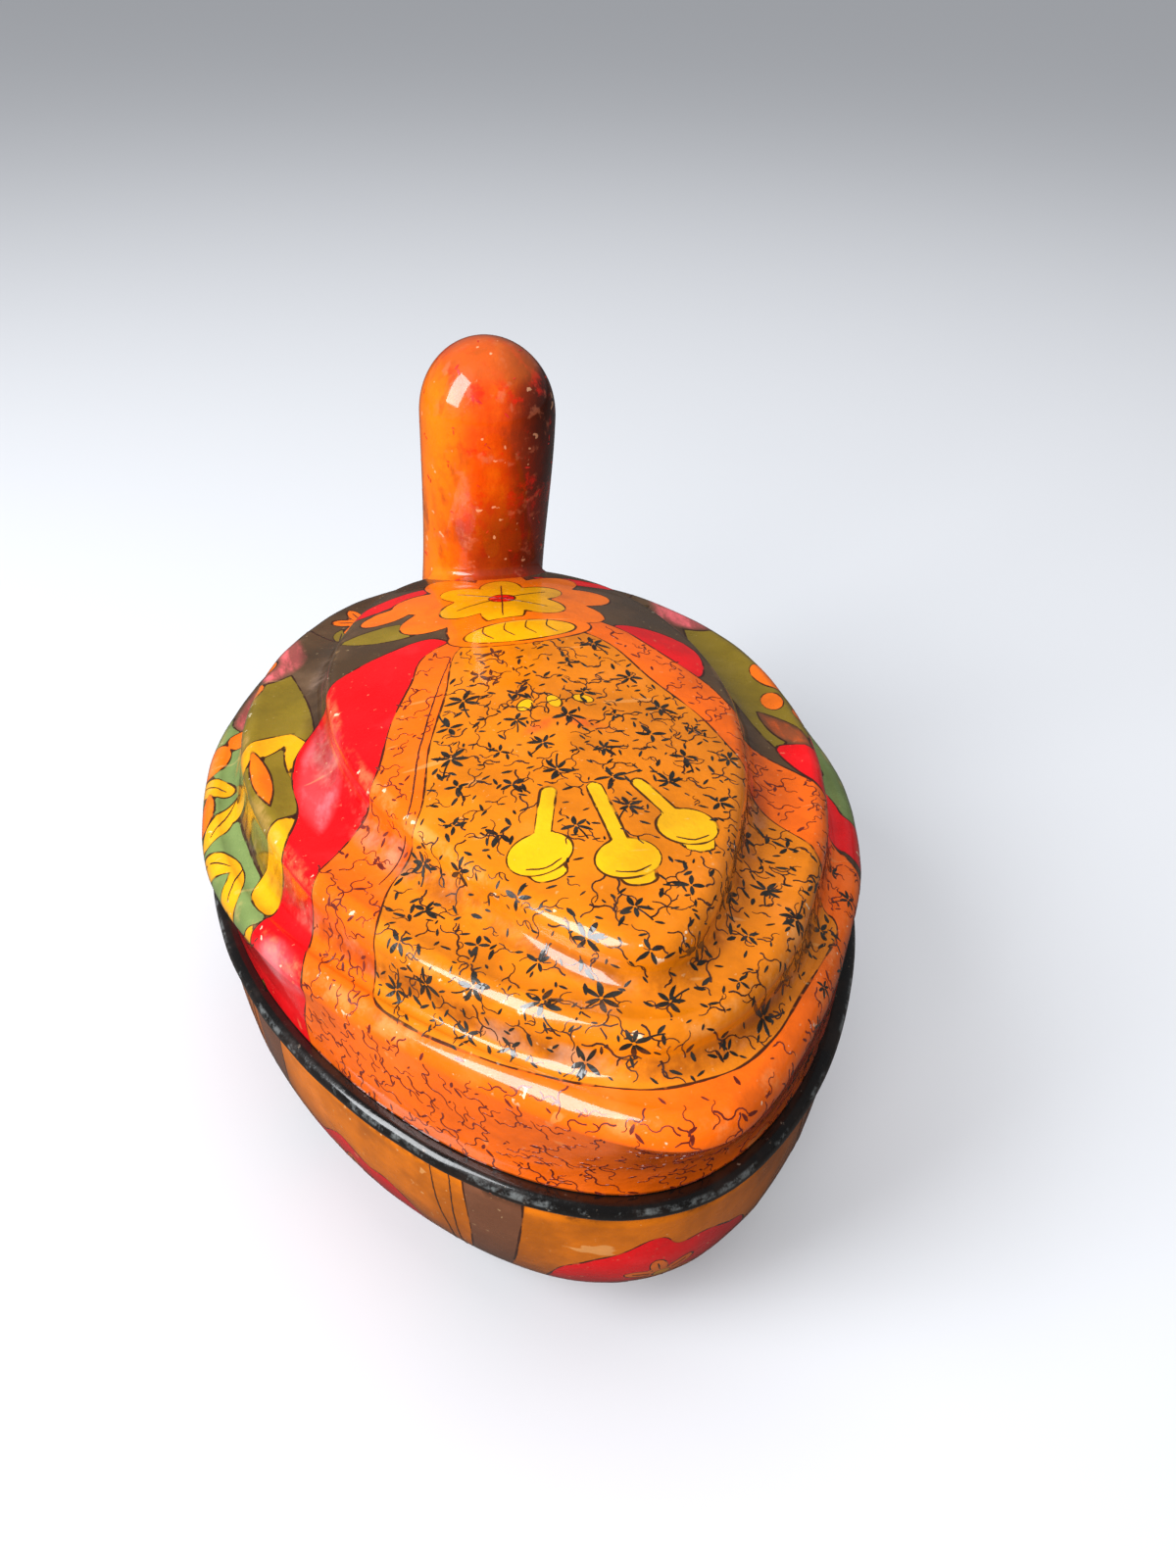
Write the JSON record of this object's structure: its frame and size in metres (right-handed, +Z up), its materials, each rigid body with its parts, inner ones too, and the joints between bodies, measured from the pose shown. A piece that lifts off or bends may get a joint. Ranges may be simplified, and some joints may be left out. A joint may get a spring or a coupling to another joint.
{
  "type": "lidded box",
  "caption": "Bird-shaped lidded trinket box: a bowl with a black rim and locating collar, and a stepped lid with neck and head that lifts off.",
  "frame": {"origin": "middle of the flat foot under the bowl, below the widest place of the body", "axes": "+Z up, +Y towards the head, -Y towards the tail, +X to the bird's right as seen from behind"},
  "size_m": [0.1202, 0.1757, 0.1206],
  "materials": {
    "base_paint": "gloss",
    "rim_lacquer": "gloss",
    "collar_paint": "satin",
    "lid_paint": "gloss",
    "head_paint": "gloss",
    "peg_wood": "matte",
    "patch_paper": "satin"
  },
  "bodies": {
    "base": {"base_shell": "base_paint", "base_rim": "rim_lacquer", "inner_collar": "collar_paint"},
    "lid": {"lid_shell": "lid_paint", "neck_and_head": "head_paint", "neck_peg": "peg_wood", "peg_patch": "patch_paper"}
  },
  "joints": [
    {"name": "lid_lift", "type": "slide", "parent": "base", "child": "lid", "axis": [0, 0, 1], "range_m": [0, 0.06]}
  ]
}
